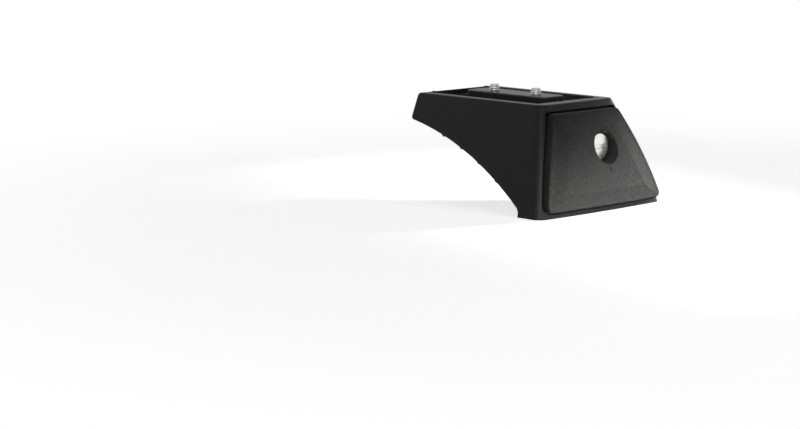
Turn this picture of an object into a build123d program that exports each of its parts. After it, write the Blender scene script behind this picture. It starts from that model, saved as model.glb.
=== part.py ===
# Roof bar foot: a moulded leg with a locking outer cover and a clamp for the bar's underside channel.
# Frame: origin on the base plane midway between the two base bolts, +X outboard, +Z up.
import os
from math import atan2, cos, degrees, sin, sqrt

from build123d import *

os.makedirs("parts", exist_ok=True)

# Leg, outside
leg_height = 58.0
base_half_width = 49.8
top_half_width = 29.5
side_swell = 1.1
base_inboard_x = -6.8
base_outboard_x = 11.4
top_outboard_x = -7.8
face_swell = 1.2
face_bow = 1.6
arm_end_x = -103.3
arm_tip_radius = 2.0
arm_tip_thickness = 14.7
arch_radius = 239.0
arch_foot_height = 3.1
arch_foot_radius = 5.0
corner_radius = 5.5
edge_radius = 1.0

# Grip ribs on the arch
rib_count = 4
rib_first_x = -75.8
rib_pitch = 15.8
rib_height = 0.9
rib_rise = 1.3
rib_run = 3.0
rib_root = 0.6
rib_end_gap = 1.4

# Leg, inside
wall = 3.2
side_wall = 3.4
end_wall = 3.0
floor_thickness = 5.0
web_thickness = 2.0
web_y = 13.0
web_outboard_x = -35.2

# Saddle on top of the leg
saddle_depth = 4.2
land_half_width = 15.0
cheek_half_width = 24.0
deck_thickness = 3.5
tray_inboard_x = -100.2
tray_outboard_x = -16.2
pad_thickness = 1.7
pad_proud = 0.6
pad_end_clearance = 0.2
pad_groove_width = 0.9
pad_groove_depth = 0.6
pad_grooves = 3

# Cover
cover_bottom_z = 3.3
cover_top_margin = 4.8
cover_y = 0.6
cover_bottom_half_width = 46.3
cover_top_half_width = 26.0
cover_swell = 1.7
cover_corner = 3.0
cover_proud = 3.5
cover_wall = 2.3
cover_edge = 0.9
cover_gap = 1.2
seat_depth = 4.0
panel_rise = 1.0
panel_bottom_margin = 8.0
panel_top_margin = 9.1
panel_side_margin = 10.4
panel_foot = 2.0
cover_rib_height = 3.0
cover_rib_thickness = 1.4
cover_rib_spots = (-30.0, -20.0, -5.0, 27.0)

# Tongues that place the cover in the leg
tongue_width = 10.0
tongue_thickness = 2.2
lower_tongue_y = 16.0
lower_tongue_reach = 14.7
upper_tongue_y = 14.0
upper_tongue_reach = 15.4
tongue_clearance = 0.3
guide_thickness = 1.8
guide_height = 4.0

# Lock
lock_y = 7.4
lock_drop = 24.4
lock_depth = 5.15
lock_stand = 0.6
tunnel_radius = 8.9
tunnel_edge = 0.5
mark_gap = 1.2
mark_length = 2.4
mark_width = 0.7
mark_rise = 0.25
boss_radius = 11.0
head_radius = 7.5
head_edge = 0.5
head_clearance = 0.15
head_thickness = 2.5
seal_thickness = 0.5
housing_radius = 6.6
housing_flat = 6.0
housing_clearance = 0.1
housing_length = 23.8
grip_length = 8.5
plug_radius = 4.7
plug_head_radius = 5.9
plug_head_thickness = 1.5
running_clearance = 0.05
keyway_width = 7.4
keyway_height = 1.8
keyway_depth = 17.0
slot_width = 10.4
slot_height = 2.4
slot_depth = 0.4
shutter_thickness = 0.6
shutter_barrel_radius = 0.4
shutter_trunnion = 0.3
shutter_clearance = 0.1
shutter_pin_radius = 0.2
shutter_spring_radius = 0.3
shutter_spring_wire = 0.09
shutter_spring_pitch = 0.25
shutter_spring_turns = 4.25
shutter_spring_leg = 1.2
index_notch_radius = 0.7
index_notch_depth = 0.8
index_notch_angle = -70.0
wafer_count = 4
wafer_thickness = 0.8
wafer_height = 4.4
wafer_length = 8.1
wafer_window_width = 4.6
wafer_window_height = 2.2
wafer_first_depth = 5.0
wafer_pitch = 3.0
wafer_lug = 0.5
spring_pocket_y = 0.1
spring_pocket_z = 1.6
spring_pocket_length = 3.5
spring_pocket_width = 1.0
wafer_spring_radius = 0.32
wafer_spring_wire = 0.12
wafer_spring_pitch = 0.6
spring_wire_sides = 8
clip_thickness = 1.0
clip_groove_radius = 5.4
clip_half_width = 8.6
clip_half_height = 8.2
clip_slack = 0.1
clip_corner = 1.5
cam_gap = 0.2
cam_thickness = 2.5
cam_hub_radius = 6.0
cam_width = 9.0
cam_reach = 15.5
cam_tip_radius = 2.5
cam_square = 5.6
cam_square_clearance = 0.05
cam_washer_radius = 4.6
cam_washer_thickness = 0.8
cam_screw_radius = 2.0
cam_screw_length = 7.5
cam_screw_head_radius = 3.6
cam_screw_head = 2.2
cam_screw_socket = 2.5
cam_screw_socket_depth = 1.4

# Keeper for the cam
keeper_gap = 0.4
keeper_thickness = 4.0
keeper_width = 14.0
keeper_drop = 6.1
keeper_slot_length = 7.0

# Bar clamp
screw_inboard_x = -71.7
screw_outboard_x = -39.7
screw_radius = 3.0
screw_length = 16.0
screw_tip = 0.8
screw_head_radius = 5.0
screw_head = 6.0
screw_socket = 5.0
screw_socket_depth = 3.2
screw_clearance = 0.3
flat_washer_radius = 6.0
flat_washer_bore = 3.2
flat_washer_thickness = 1.6
spring_washer_radius = 5.5
spring_washer_bore = 3.1
spring_washer_thickness = 1.6
spring_washer_slit = 1.1
access_radius = 6.5
plate_length = 60.0
plate_width = 18.0
plate_thickness = 4.0
plate_corner = 3.0
plate_edge = 0.5
pad_hole_radius = 3.8

# Base fixing
bolt_half_spacing = 30.0
bolt_hole_radius = 3.3
sleeve_radius = 4.4
sleeve_collar_radius = 5.2
sleeve_collar = 1.0
sleeve_clearance = 0.02
spot_face_radius = 5.8
spot_face_height = 9.0

def half_width(z):
    """Half the leg's width at a height z."""
    share = z / leg_height
    swell = 4 * side_swell * share * (1 - share)
    return base_half_width + (top_half_width - base_half_width) * share + swell


def face_x(z, shift):
    """Place of the outboard face at a height z on the middle line, moved outboard by shift."""
    share = z / leg_height
    swell = 4 * face_swell * share * (1 - share)
    return base_outboard_x + (top_outboard_x - base_outboard_x) * share + swell + shift


# Positions that follow from the sizes
lean = (base_outboard_x - top_outboard_x) / leg_height
bow_radius = base_half_width**2 / (2 * face_bow)
bow_axis_x = base_outboard_x - bow_radius
bow_plane = Plane(origin=(bow_axis_x, 0, 0), x_dir=(-1, 0, 0), z_dir=(0, 1, 0))
bow_axis = Axis((bow_axis_x, 0, 0), (0, 0, 1))
seat_plane = Plane(origin=(base_outboard_x - seat_depth, 0, 0), x_dir=(0, 1, 0), z_dir=(1, 0, lean))
arm_low = (arm_end_x, leg_height - arm_tip_thickness)
arch_foot = (base_inboard_x, arch_foot_height)
arch_chord_x = arch_foot[0] - arm_low[0]
arch_chord_z = arch_foot[1] - arm_low[1]
arch_half_chord = sqrt(arch_chord_x**2 + arch_chord_z**2) / 2
arch_depth = sqrt(arch_radius**2 - arch_half_chord**2) / (2 * arch_half_chord)
arch_centre_x = (arm_low[0] + arch_foot[0]) / 2 + arch_chord_z * arch_depth
arch_centre_z = (arm_low[1] + arch_foot[1]) / 2 - arch_chord_x * arch_depth
land_z = leg_height - saddle_depth
deck_under_z = land_z - deck_thickness
cover_top_z = leg_height - cover_top_margin
panel_bottom_z = cover_bottom_z + panel_bottom_margin
panel_top_z = cover_top_z - panel_top_margin
cover_taper = (cover_bottom_half_width - cover_top_half_width) / (cover_top_z - cover_bottom_z)
tongue_lower_z = floor_thickness
tongue_upper_z = deck_under_z - tongue_clearance
lower_tongue_root_x = face_x(tongue_lower_z, cover_proud - cover_wall / 2)
lower_tongue_x = lower_tongue_root_x - lower_tongue_reach
upper_tongue_root_x = face_x(tongue_upper_z, cover_proud - cover_wall / 2)
upper_tongue_x = upper_tongue_root_x - upper_tongue_reach
lock_z = leg_height - lock_drop
lock_face_x = face_x(lock_z, cover_proud + panel_rise) - lock_depth
housing_rear_x = lock_face_x - housing_length
tunnel_floor_x = lock_face_x - lock_stand
head_seat_x = lock_face_x - head_thickness
seal_seat_x = head_seat_x - seal_thickness
boss_rear_x = head_seat_x - grip_length
shutter_front_x = lock_face_x - slot_depth - shutter_clearance
shutter_axis_x = shutter_front_x - shutter_barrel_radius
shutter_axis_z = lock_z + slot_height / 2 + shutter_barrel_radius
shutter_tip_z = lock_z - slot_height / 2 + shutter_clearance
shutter_swing = sqrt((shutter_axis_z - shutter_tip_z) ** 2 + shutter_barrel_radius**2)
shutter_barrel_length = keyway_width + 2 * shutter_trunnion
shutter_spring_length = shutter_spring_pitch * shutter_spring_turns
shutter_spring_room = shutter_spring_length + 2 * (shutter_spring_wire + running_clearance)
wafer_lug_y = spring_pocket_y + running_clearance
wafer_lug_height = spring_pocket_width - 2 * running_clearance
wafer_spring_y = wafer_lug_y + wafer_lug + wafer_spring_wire
wafer_spring_length = spring_pocket_y + spring_pocket_length - wafer_spring_wire - wafer_spring_y
cam_front_x = housing_rear_x - cam_gap
cam_rear_x = cam_front_x - cam_thickness
keeper_rear_x = cam_front_x + keeper_gap
keeper_x = keeper_rear_x + keeper_thickness / 2
plate_rest_z = land_z + pad_thickness
plate_x = (screw_inboard_x + screw_outboard_x) / 2
screw_seat_z = deck_under_z - flat_washer_thickness - spring_washer_thickness
screw_spots = [(screw_inboard_x, 0), (screw_outboard_x, 0)]
bolt_spots = [(0, -bolt_half_spacing), (0, bolt_half_spacing)]
beyond = 40.0


def arch_z(x, inset):
    """Height of the arch above a place x, moved into the leg by inset."""
    return arch_centre_z + sqrt((arch_radius + inset) ** 2 - (x - arch_centre_x) ** 2)


def arch_x(z, inset):
    """Place of the arch at a height z, moved into the leg by inset."""
    return arch_centre_x + sqrt((arch_radius + inset) ** 2 - (z - arch_centre_z) ** 2)


def arch_polar(angle, inset):
    """Point of the arch at an angle round its centre, moved into the leg by inset."""
    reach = arch_radius + inset
    return (arch_centre_x + reach * cos(angle), arch_centre_z + reach * sin(angle))


def lock_plane(x):
    """Plane across the lock's axis at a place x."""
    return Plane(origin=(x, lock_y, lock_z), x_dir=(0, 1, 0), z_dir=(1, 0, 0))


def face_envelope(shift):
    """Everything inboard of the leaning, bowed outboard face moved outboard by shift."""
    low = bow_radius + shift
    high = low + top_outboard_x - base_outboard_x
    middle = (low + high) / 2 + face_swell
    reach = 6.0
    with BuildPart() as envelope:
        with BuildSketch(bow_plane):
            with BuildLine():
                ThreePointArc((low, 0), (middle, leg_height / 2), (high, leg_height))
                Polyline(
                    (high, leg_height),
                    (high - lean * reach, leg_height + reach),
                    (0, leg_height + reach),
                    (0, -reach),
                    (low + lean * reach, -reach),
                    (low, 0),
                )
            make_face()
        revolve(axis=bow_axis)
    return envelope.part


def crease_point(z, side, shift):
    """Point on one side edge of the cover's raised panel at a height z."""
    y = cover_y + side * (cover_bottom_half_width - cover_taper * (z - cover_bottom_z) - panel_side_margin)
    return Vector(face_x(z, shift + panel_rise) - y**2 / (2 * bow_radius), y, z)


def side_border(side, shift):
    """What is cut away beside the panel, so that a border slopes down to the cover's face."""
    middle = crease_point((cover_bottom_z + cover_top_z) / 2, side, shift)
    across = Vector(-abs(middle.Y) / bow_radius - lean * cover_taper, side, cover_taper)
    reach = 2 * panel_side_margin
    drop = reach * panel_rise / (panel_side_margin - panel_foot)
    with BuildPart() as border:
        with BuildLine() as crease:
            ThreePointArc(
                crease_point(cover_bottom_z - panel_side_margin, side, shift),
                middle,
                crease_point(cover_top_z + panel_side_margin, side, shift),
            )
        section = Plane(origin=crease.line @ 0, x_dir=across, z_dir=side * (crease.line % 0))
        with BuildSketch(section):
            with BuildLine():
                Polyline((-reach, -drop), (reach, drop), (reach, -reach), (-reach, -reach), close=True)
            make_face()
        sweep()
    return border.part


def panel_envelope(shift):
    """Everything inboard of the raised panel and its sloping borders, on a face moved outboard by shift."""
    low_crease = Vector(face_x(panel_bottom_z, shift + panel_rise) - bow_axis_x, panel_bottom_z)
    low_foot_z = cover_bottom_z + panel_foot
    low_foot = Vector(face_x(low_foot_z, shift) - bow_axis_x, low_foot_z)
    high_crease = Vector(face_x(panel_top_z, shift + panel_rise) - bow_axis_x, panel_top_z)
    high_foot_z = cover_top_z - panel_foot
    high_foot = Vector(face_x(high_foot_z, shift) - bow_axis_x, high_foot_z)
    middle_z = (panel_bottom_z + panel_top_z) / 2
    middle = Vector(face_x(middle_z, shift + panel_rise) - bow_axis_x, middle_z)
    low_end = low_foot * 2 - low_crease
    high_end = high_foot * 2 - high_crease
    near_border = side_border(-1, shift)
    far_border = side_border(1, shift)
    with BuildPart() as envelope:
        with BuildSketch(bow_plane):
            with BuildLine():
                Line(low_end, low_crease)
                ThreePointArc(low_crease, middle, high_crease)
                Polyline(high_crease, high_end, (0, high_end.Y), (0, low_end.Y), low_end)
            make_face()
        revolve(axis=bow_axis)
        add(near_border, mode=Mode.SUBTRACT)
        add(far_border, mode=Mode.SUBTRACT)
    return envelope.part


def cover_outline(margin):
    """Outline of the cover seen from outboard, grown by margin."""
    low_z = cover_bottom_z - margin
    high_z = cover_top_z + margin
    low_y = cover_bottom_half_width + margin
    high_y = cover_top_half_width + margin
    middle_y = (low_y + high_y) / 2 + cover_swell
    middle_z = (low_z + high_z) / 2
    with BuildSketch(Plane.YZ) as outline:
        with BuildLine():
            for side in (-1, 1):
                ThreePointArc(
                    (cover_y + side * low_y, low_z),
                    (cover_y + side * middle_y, middle_z),
                    (cover_y + side * high_y, high_z),
                )
            Line((cover_y - low_y, low_z), (cover_y + low_y, low_z))
            Line((cover_y - high_y, high_z), (cover_y + high_y, high_z))
        make_face()
        fillet(outline.vertices(), cover_corner + margin)
    return outline.sketch


leg_face = face_envelope(0)
cover_face = face_envelope(cover_proud)
cover_lining = panel_envelope(cover_proud - cover_wall)
cover_shape = cover_outline(0)
cover_inside = cover_outline(-cover_wall)
window_shape = cover_outline(cover_gap)
panel_shape = cover_outline(-panel_foot / 2)

# Inside of the leg, less the webs, keeper and tongue guides that stand in it
inner_end_x = arm_end_x + end_wall
inner_foot = (arch_x(floor_thickness, wall), floor_thickness)
inner_end = (inner_end_x, arch_z(inner_end_x, wall))
inner_mid_x = (inner_end_x + inner_foot[0]) / 2
with BuildPart() as leg_cavity:
    with BuildSketch(Plane.XZ):
        with BuildLine():
            ThreePointArc(inner_end, (inner_mid_x, arch_z(inner_mid_x, wall)), inner_foot)
            Polyline(
                inner_foot,
                (beyond, floor_thickness),
                (beyond, leg_height),
                (inner_end_x, leg_height),
                inner_end,
            )
        make_face()
    extrude(amount=base_half_width, both=True)
    with BuildSketch(Plane.YZ) as cavity_section:
        slope = (leg_height - land_z) / (cheek_half_width - land_half_width)
        shoulder_z = deck_under_z + slope * (cheek_half_width - land_half_width)
        shoulder_y = half_width(shoulder_z) - side_wall
        bend_y = shoulder_y - (shoulder_z - deck_under_z) / slope
        foot_y = half_width(0) - side_wall
        waist_z = shoulder_z / 2
        waist_y = half_width(waist_z) - side_wall
        with BuildLine():
            Polyline((-foot_y, 0), (foot_y, 0))
            ThreePointArc((foot_y, 0), (waist_y, waist_z), (shoulder_y, shoulder_z))
            Polyline(
                (shoulder_y, shoulder_z),
                (bend_y, deck_under_z),
                (-bend_y, deck_under_z),
                (-shoulder_y, shoulder_z),
            )
            ThreePointArc((-shoulder_y, shoulder_z), (-waist_y, waist_z), (-foot_y, 0))
        make_face()
    extrude(amount=-arm_end_x + beyond, both=True, mode=Mode.INTERSECT)
    web_length = web_outboard_x - arm_end_x
    with Locations((arm_end_x + web_length / 2, -web_y, 0), (arm_end_x + web_length / 2, web_y, 0)):
        Box(web_length, web_thickness, 2 * leg_height, mode=Mode.SUBTRACT)
    with Locations((keeper_x, lock_y, leg_height - keeper_drop / 2)):
        Box(
            keeper_thickness,
            keeper_width,
            2 * (leg_height - deck_under_z) + keeper_drop,
            mode=Mode.SUBTRACT,
        )
    guide_y = tongue_width / 2 + tongue_clearance + guide_thickness / 2
    with Locations(
        (lower_tongue_x, -lower_tongue_y - guide_y, floor_thickness),
        (lower_tongue_x, -lower_tongue_y + guide_y, floor_thickness),
        (lower_tongue_x, lower_tongue_y - guide_y, floor_thickness),
        (lower_tongue_x, lower_tongue_y + guide_y, floor_thickness),
    ):
        Box(2 * seat_depth, guide_thickness, 2 * guide_height, mode=Mode.SUBTRACT)

# Window in the outboard side that the cover's skirt drops into
with BuildPart() as window:
    extrude(window_shape, amount=beyond, dir=(1, 0, 0), both=True)
    split(bisect_by=seat_plane, keep=Keep.TOP)

# Leg
arm_top = (arm_end_x, leg_height)
arch_mid_x = (arm_end_x + base_inboard_x) / 2
with BuildPart() as leg_body:
    with BuildSketch(Plane.XZ) as leg_profile:
        with BuildLine():
            ThreePointArc(arm_low, (arch_mid_x, arch_z(arch_mid_x, 0)), arch_foot)
            Polyline(
                arch_foot,
                (base_inboard_x, 0),
                (beyond, 0),
                (beyond, leg_height),
                arm_top,
                arm_low,
            )
        make_face()
        fillet(leg_profile.vertices().sort_by_distance(arch_foot)[0], arch_foot_radius)
        fillet(leg_profile.vertices().sort_by_distance(arm_low)[0], arm_tip_radius)
        fillet(leg_profile.vertices().sort_by_distance(arm_top)[0], arm_tip_radius)
    extrude(amount=base_half_width, both=True)
    with BuildSketch(Plane.YZ):
        with BuildLine():
            Line((-base_half_width, 0), (base_half_width, 0))
            ThreePointArc(
                (base_half_width, 0),
                (half_width(leg_height / 2), leg_height / 2),
                (top_half_width, leg_height),
            )
            Line((top_half_width, leg_height), (-top_half_width, leg_height))
            ThreePointArc(
                (-top_half_width, leg_height),
                (-half_width(leg_height / 2), leg_height / 2),
                (-base_half_width, 0),
            )
        make_face()
    extrude(amount=-arm_end_x + beyond, both=True, mode=Mode.INTERSECT)
    add(leg_face, mode=Mode.INTERSECT)
    upright = leg_body.edges().filter_by(
        lambda e: e.bounding_box().size.Z > leg_height / 2 and e.center().X > -beyond
    )
    fillet(upright, corner_radius)
    soft = leg_body.edges().filter_by(
        lambda e: e.bounding_box().max.Z > edge_radius and abs(e.center().Y) > 0.6 * top_half_width
    )
    fillet(soft.filter_by(lambda e: e.bounding_box().size.X > -arm_end_x / 2), edge_radius)
    for number in range(rib_count):
        peak_x = rib_first_x + number * rib_pitch
        peak = atan2(arch_z(peak_x, 0) - arch_centre_z, peak_x - arch_centre_x)
        with BuildSketch(Plane.XZ):
            with BuildLine():
                Polyline(
                    arch_polar(peak + rib_rise / arch_radius, rib_root),
                    arch_polar(peak + rib_rise / arch_radius, 0),
                    arch_polar(peak, -rib_height),
                    arch_polar(peak - rib_run / arch_radius, 0),
                    arch_polar(peak - rib_run / arch_radius, rib_root),
                    close=True,
                )
            make_face()
        extrude(amount=half_width(arch_z(peak_x, 0)) - rib_end_gap, both=True)
    add(leg_cavity.part, mode=Mode.SUBTRACT)
    add(window.part, mode=Mode.SUBTRACT)
    with BuildSketch(Plane.YZ.offset(tray_inboard_x)):
        with BuildLine():
            Polyline(
                (-land_half_width, land_z),
                (land_half_width, land_z),
                (cheek_half_width, leg_height),
                (cheek_half_width, leg_height + 1),
                (-cheek_half_width, leg_height + 1),
                (-cheek_half_width, leg_height),
                close=True,
            )
        make_face()
    extrude(amount=tray_outboard_x - tray_inboard_x, mode=Mode.SUBTRACT)
    with BuildSketch(Plane.XY.offset(leg_height)):
        with Locations(*screw_spots):
            Circle(screw_radius + screw_clearance)
        with Locations((keeper_rear_x - keeper_slot_length / 2, lock_y)):
            Rectangle(keeper_slot_length, keeper_width)
    extrude(amount=deck_under_z - leg_height, mode=Mode.SUBTRACT)
    with BuildSketch(Plane.XY):
        with Locations(*screw_spots):
            Circle(access_radius)
    extrude(amount=screw_seat_z - screw_head, mode=Mode.SUBTRACT)
    with BuildSketch(Plane.XY):
        with Locations(*bolt_spots):
            Circle(sleeve_radius + sleeve_clearance)
    extrude(amount=floor_thickness, mode=Mode.SUBTRACT)
    with BuildSketch(Plane.XY.offset(floor_thickness)):
        with Locations(*bolt_spots):
            Circle(spot_face_radius)
    extrude(amount=spot_face_height, mode=Mode.SUBTRACT)
leg_body.part.label = "leg_body"
export_step(leg_body.part, "parts/leg_body.step")

# Rubber lining of the saddle
pad_slope = (leg_height - land_z) / (cheek_half_width - land_half_width)
pad_rise = pad_thickness * sqrt(1 + pad_slope**2)
pad_bend_y = land_half_width + (pad_thickness - pad_rise) / pad_slope
pad_tip_z = leg_height + pad_proud
pad_tip_y = land_half_width + (pad_tip_z - land_z - pad_rise) / pad_slope
pad_root_y = pad_tip_y + pad_thickness * pad_slope / sqrt(1 + pad_slope**2)
pad_root_z = land_z + (pad_root_y - land_half_width) * pad_slope
pad_slope_angle = degrees(atan2(leg_height - land_z, cheek_half_width - land_half_width))
with BuildPart() as saddle_pad:
    with BuildSketch(Plane.YZ.offset(tray_inboard_x + pad_end_clearance)):
        with BuildLine():
            Polyline(
                (-land_half_width, land_z),
                (land_half_width, land_z),
                (pad_root_y, pad_root_z),
                (pad_tip_y, pad_tip_z),
                (pad_bend_y, land_z + pad_thickness),
                (-pad_bend_y, land_z + pad_thickness),
                (-pad_tip_y, pad_tip_z),
                (-pad_root_y, pad_root_z),
                close=True,
            )
        make_face()
        for number in range(1, pad_grooves + 1):
            groove_y = pad_bend_y + (pad_tip_y - pad_bend_y) * number / (pad_grooves + 1)
            groove_z = land_z + pad_thickness + (groove_y - pad_bend_y) * pad_slope
            for side in (-1, 1):
                with Locations(Location((side * groove_y, groove_z, 0), (0, 0, side * pad_slope_angle))):
                    Rectangle(pad_groove_width, 2 * pad_groove_depth, mode=Mode.SUBTRACT)
    extrude(amount=tray_outboard_x - tray_inboard_x - 2 * pad_end_clearance)
    with BuildSketch(Plane.XY.offset(land_z)):
        with Locations(*screw_spots):
            Circle(pad_hole_radius)
    extrude(amount=leg_height - land_z, mode=Mode.SUBTRACT)
saddle_pad.part.label = "saddle_pad"
export_step(saddle_pad.part, "parts/saddle_pad.step")

# Tapped plate for the bar's channel
with BuildPart() as clamp_plate:
    with BuildSketch(Plane.XY.offset(plate_rest_z)) as plate_shape:
        with Locations((plate_x, 0)):
            Rectangle(plate_length, plate_width)
        fillet(plate_shape.vertices(), plate_corner)
        with Locations(*screw_spots):
            Circle(screw_radius + running_clearance, mode=Mode.SUBTRACT)
    extrude(amount=plate_thickness)
    chamfer(clamp_plate.faces().sort_by(Axis.Z)[-1].outer_wire().edges(), plate_edge)
clamp_plate.part.label = "clamp_plate"
export_step(clamp_plate.part, "parts/clamp_plate.step")

# Clamp screws, heads below the deck
with BuildPart() as clamp_screw_inboard:
    with BuildSketch(Plane.XY.offset(screw_seat_z)):
        with Locations((screw_inboard_x, 0)):
            Circle(screw_radius)
    extrude(amount=screw_length)
    chamfer(clamp_screw_inboard.faces().sort_by(Axis.Z)[-1].edges(), screw_tip)
    with BuildSketch(Plane.XY.offset(screw_seat_z)):
        with Locations((screw_inboard_x, 0)):
            Circle(screw_head_radius)
    extrude(amount=-screw_head)
    chamfer(clamp_screw_inboard.faces().sort_by(Axis.Z)[0].edges(), plate_edge)
    with BuildSketch(Plane.XY.offset(screw_seat_z - screw_head)):
        with Locations((screw_inboard_x, 0)):
            RegularPolygon(screw_socket / 2, 6, major_radius=False)
    extrude(amount=screw_socket_depth, mode=Mode.SUBTRACT)
clamp_screw_inboard.part.label = "clamp_screw_inboard"
export_step(clamp_screw_inboard.part, "parts/clamp_screw_inboard.step")

with BuildPart() as clamp_screw_outboard:
    with Locations((screw_outboard_x - screw_inboard_x, 0, 0)):
        add(clamp_screw_inboard.part)
clamp_screw_outboard.part.label = "clamp_screw_outboard"
export_step(clamp_screw_outboard.part, "parts/clamp_screw_outboard.step")

# Washers under the screw heads
with BuildPart() as flat_washers:
    with BuildSketch(Plane.XY.offset(deck_under_z)):
        with Locations(*screw_spots):
            Circle(flat_washer_radius)
            Circle(flat_washer_bore, mode=Mode.SUBTRACT)
    extrude(amount=-flat_washer_thickness)
flat_washers.part.label = "flat_washers"
export_step(flat_washers.part, "parts/flat_washers.step")

with BuildPart() as spring_washers:
    with BuildSketch(Plane.XY.offset(deck_under_z - flat_washer_thickness)):
        with Locations(*screw_spots):
            Circle(spring_washer_radius)
            Circle(spring_washer_bore, mode=Mode.SUBTRACT)
        with Locations((screw_inboard_x, spring_washer_radius), (screw_outboard_x, spring_washer_radius)):
            Rectangle(spring_washer_slit, 2 * spring_washer_bore, mode=Mode.SUBTRACT)
    extrude(amount=-spring_washer_thickness)
spring_washers.part.label = "spring_washers"
export_step(spring_washers.part, "parts/spring_washers.step")

# Steel sleeves in the floor for the base bolts
with BuildPart() as base_sleeves:
    with BuildSketch(Plane.XY):
        with Locations(*bolt_spots):
            Circle(sleeve_radius)
            Circle(bolt_hole_radius, mode=Mode.SUBTRACT)
    extrude(amount=floor_thickness + sleeve_collar)
    with BuildSketch(Plane.XY.offset(floor_thickness)):
        with Locations(*bolt_spots):
            Circle(sleeve_collar_radius)
            Circle(bolt_hole_radius, mode=Mode.SUBTRACT)
    extrude(amount=sleeve_collar)
base_sleeves.part.label = "base_sleeves"
export_step(base_sleeves.part, "parts/base_sleeves.step")

# Hollow of the cover, less its ribs and lock boss
cover_rib_line = face_envelope(cover_proud - cover_wall - cover_rib_height)
with BuildPart() as cover_ribs:
    with Locations(*[(0, y, leg_height / 2) for y in cover_rib_spots]):
        Box(2 * beyond, cover_rib_thickness, leg_height)
    add(cover_rib_line, mode=Mode.SUBTRACT)
with BuildPart() as cover_hollow:
    extrude(cover_inside, amount=beyond, dir=(1, 0, 0), both=True)
    add(cover_lining, mode=Mode.INTERSECT)
    add(cover_ribs.part, mode=Mode.SUBTRACT)
    with BuildSketch(lock_plane(boss_rear_x)):
        Circle(boss_radius)
    extrude(amount=beyond, mode=Mode.SUBTRACT)

# Raised middle of the cover's face, with borders that slope down on all four sides
with BuildPart() as raised_panel:
    extrude(panel_shape, amount=beyond, dir=(1, 0, 0), both=True)
    add(panel_envelope(cover_proud), mode=Mode.INTERSECT)
    split(bisect_by=seat_plane, keep=Keep.TOP)

# Raised bars beside the lock that the key slot points at when locked and when open
mark_reach = tunnel_radius + mark_gap + mark_length / 2
with BuildPart() as position_marks:
    with BuildSketch(lock_plane(tunnel_floor_x)):
        with Locations((-mark_reach, 0)):
            Rectangle(mark_length, mark_width)
        with Locations((0, -mark_reach)):
            Rectangle(mark_width, mark_length)
    extrude(amount=beyond)
    add(panel_envelope(cover_proud + mark_rise), mode=Mode.INTERSECT)
    add(cover_lining, mode=Mode.SUBTRACT)

# Cover
with BuildPart() as outer_cover:
    extrude(cover_shape, amount=beyond, dir=(1, 0, 0), both=True)
    add(cover_face, mode=Mode.INTERSECT)
    split(bisect_by=seat_plane, keep=Keep.TOP)
    front = outer_cover.faces().filter_by(lambda f: f.normal_at().X > 0.5).sort_by(SortBy.AREA)[-1]
    fillet(front.edges(), cover_edge)
    add(raised_panel.part)
    add(cover_hollow.part, mode=Mode.SUBTRACT)
    with BuildSketch(lock_plane(boss_rear_x)):
        Circle(boss_radius)
    extrude(amount=lock_face_x - boss_rear_x)
    with Locations(
        (lower_tongue_x + lower_tongue_reach / 2, -lower_tongue_y, tongue_lower_z + tongue_thickness / 2),
        (lower_tongue_x + lower_tongue_reach / 2, lower_tongue_y, tongue_lower_z + tongue_thickness / 2),
    ):
        Box(lower_tongue_reach, tongue_width, tongue_thickness)
    with Locations(
        (upper_tongue_x + upper_tongue_reach / 2, -upper_tongue_y, tongue_upper_z - tongue_thickness / 2),
        (upper_tongue_x + upper_tongue_reach / 2, upper_tongue_y, tongue_upper_z - tongue_thickness / 2),
    ):
        Box(upper_tongue_reach, tongue_width, tongue_thickness)
    with BuildSketch(lock_plane(tunnel_floor_x)):
        Circle(tunnel_radius)
    extrude(amount=beyond, mode=Mode.SUBTRACT)
    with BuildSketch(lock_plane(seal_seat_x)):
        Circle(head_radius + head_clearance)
    extrude(amount=tunnel_floor_x - seal_seat_x, mode=Mode.SUBTRACT)
    with BuildSketch(lock_plane(boss_rear_x)):
        Circle(housing_radius + housing_clearance)
        Rectangle(4 * housing_radius, 2 * (housing_flat + housing_clearance), mode=Mode.INTERSECT)
    extrude(amount=grip_length, mode=Mode.SUBTRACT)
    mouth = outer_cover.edges().filter_by(
        lambda e: abs(e.bounding_box().size.Y - 2 * tunnel_radius) < 0.1 and e.center().X > 0
    )
    fillet(mouth, tunnel_edge)
    add(position_marks.part)
outer_cover.part.label = "outer_cover"
export_step(outer_cover.part, "parts/outer_cover.step")

# Lock housing
clip_front_x = boss_rear_x
with BuildPart() as lock_housing:
    with BuildSketch(lock_plane(lock_face_x)):
        Circle(head_radius)
    extrude(amount=-head_thickness)
    chamfer(lock_housing.faces().sort_by(Axis.X)[-1].edges(), head_edge)
    with BuildSketch(lock_plane(head_seat_x)):
        Circle(housing_radius)
        Rectangle(4 * housing_radius, 2 * housing_flat, mode=Mode.INTERSECT)
    extrude(amount=housing_rear_x - head_seat_x)
    with BuildSketch(lock_plane(clip_front_x)):
        Circle(clip_half_width)
        Circle(clip_groove_radius, mode=Mode.SUBTRACT)
    extrude(amount=-clip_thickness - clip_slack, mode=Mode.SUBTRACT)
    with BuildSketch(lock_plane(lock_face_x)):
        Circle(plug_radius + running_clearance)
    extrude(amount=-housing_length, mode=Mode.SUBTRACT)
    with BuildSketch(lock_plane(lock_face_x)):
        Circle(plug_head_radius + running_clearance)
    extrude(amount=-plug_head_thickness, mode=Mode.SUBTRACT)
lock_housing.part.label = "lock_housing"
export_step(lock_housing.part, "parts/lock_housing.step")

# Seal under the lock's head
with BuildPart() as lock_seal:
    with BuildSketch(lock_plane(seal_seat_x)):
        Circle(head_radius)
        Circle(housing_radius + housing_clearance, mode=Mode.SUBTRACT)
    extrude(amount=seal_thickness)
lock_seal.part.label = "lock_seal"
export_step(lock_seal.part, "parts/lock_seal.step")

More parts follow.
